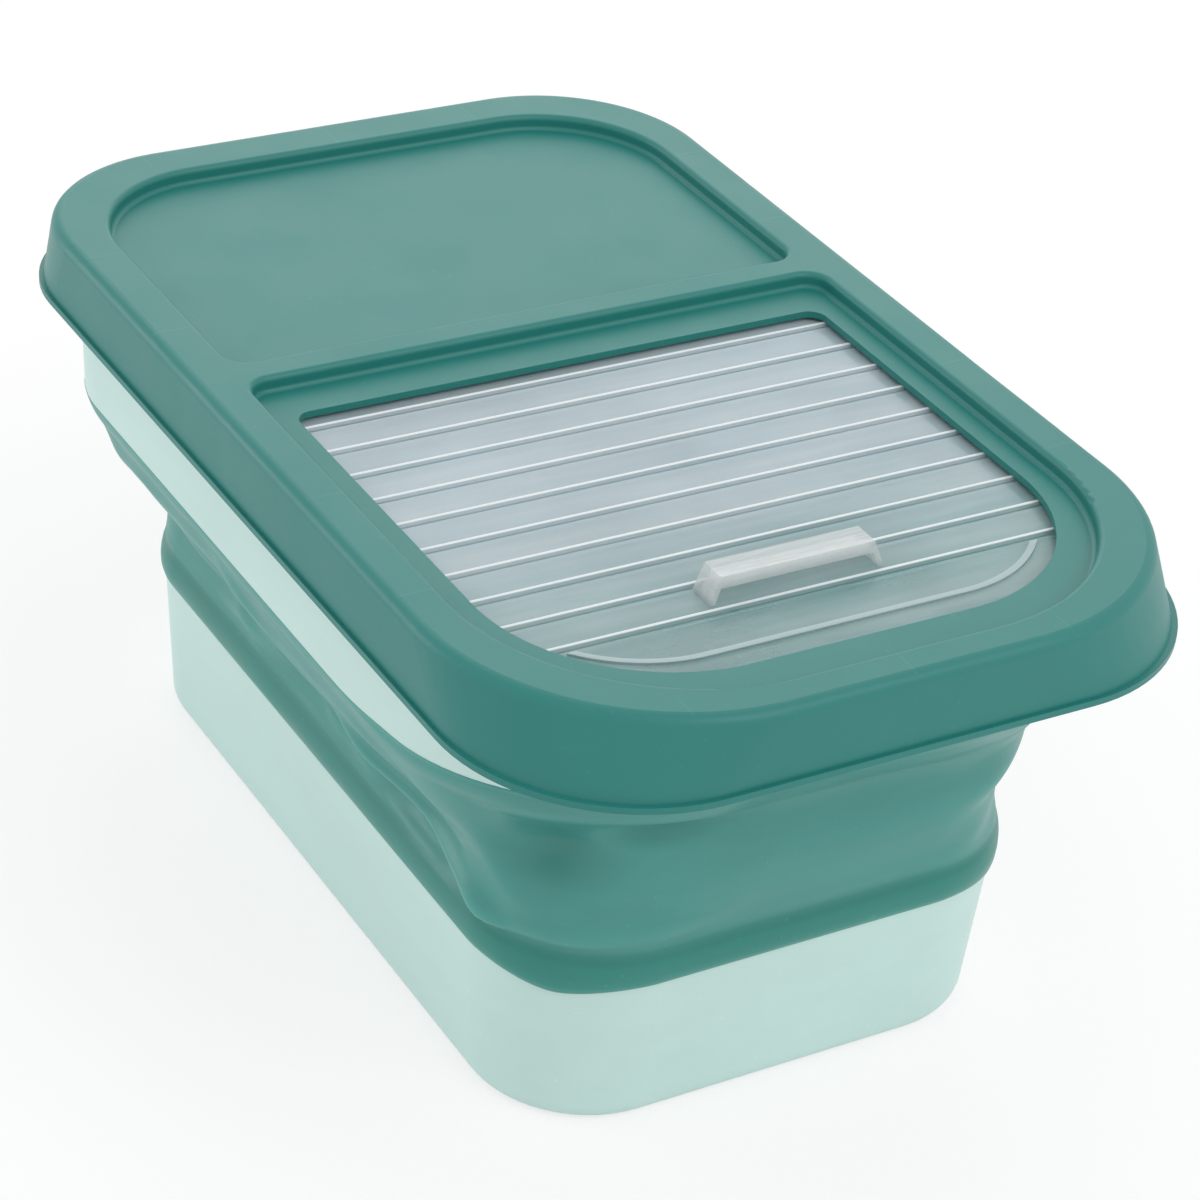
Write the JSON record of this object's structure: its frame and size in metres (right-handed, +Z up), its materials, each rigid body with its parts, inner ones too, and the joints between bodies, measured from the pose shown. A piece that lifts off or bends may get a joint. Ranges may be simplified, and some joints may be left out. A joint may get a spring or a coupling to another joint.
{
  "type": "collapsible food storage bin",
  "caption": "Collapsible food bin: hard tub, folding soft wall, collar and lift-off lid with a sliding slatted clear door and a pull handle.",
  "frame": {"origin": "on the floor, under the middle of the lid", "axes": "+Z up; the bin's length runs along Y, with the door's front end at -Y and the door opening towards +Y; +X across"},
  "size_m": [0.252, 0.4, 0.183],
  "materials": {
    "mint_plastic": "satin",
    "teal_rubber": "satin",
    "teal_plastic": "satin",
    "white_plastic": "smooth",
    "clear_plastic": "smooth"
  },
  "bodies": {
    "base": {"base_tub": "mint_plastic", "folding_wall": "teal_rubber"},
    "collar": {"collar": "mint_plastic"},
    "lid": {"lid": "teal_plastic", "track_left": "teal_plastic", "track_right": "teal_plastic"},
    "door": {"pull_handle": "white_plastic", "door_slat_01": "clear_plastic", "door_slat_02": "clear_plastic", "door_slat_03": "clear_plastic", "door_slat_04": "clear_plastic", "door_slat_05": "clear_plastic", "door_slat_06": "clear_plastic", "door_slat_07": "clear_plastic", "door_slat_08": "clear_plastic", "door_slat_09": "clear_plastic", "door_slat_10": "clear_plastic", "door_slat_11": "clear_plastic"}
  },
  "joints": [
    {"name": "collapse", "type": "slide", "parent": "base", "child": "collar", "axis": [0, 0, -1], "range_m": [0, 0.05], "deforming": ["folding_wall"]},
    {"name": "lid_lift", "type": "slide", "parent": "collar", "child": "lid", "axis": [0, 0, 1], "range_m": [0, 0.06]},
    {"name": "door_slide", "type": "slide", "parent": "lid", "child": "door", "axis": [0, 1, 0], "range_m": [0, 0.134]}
  ]
}
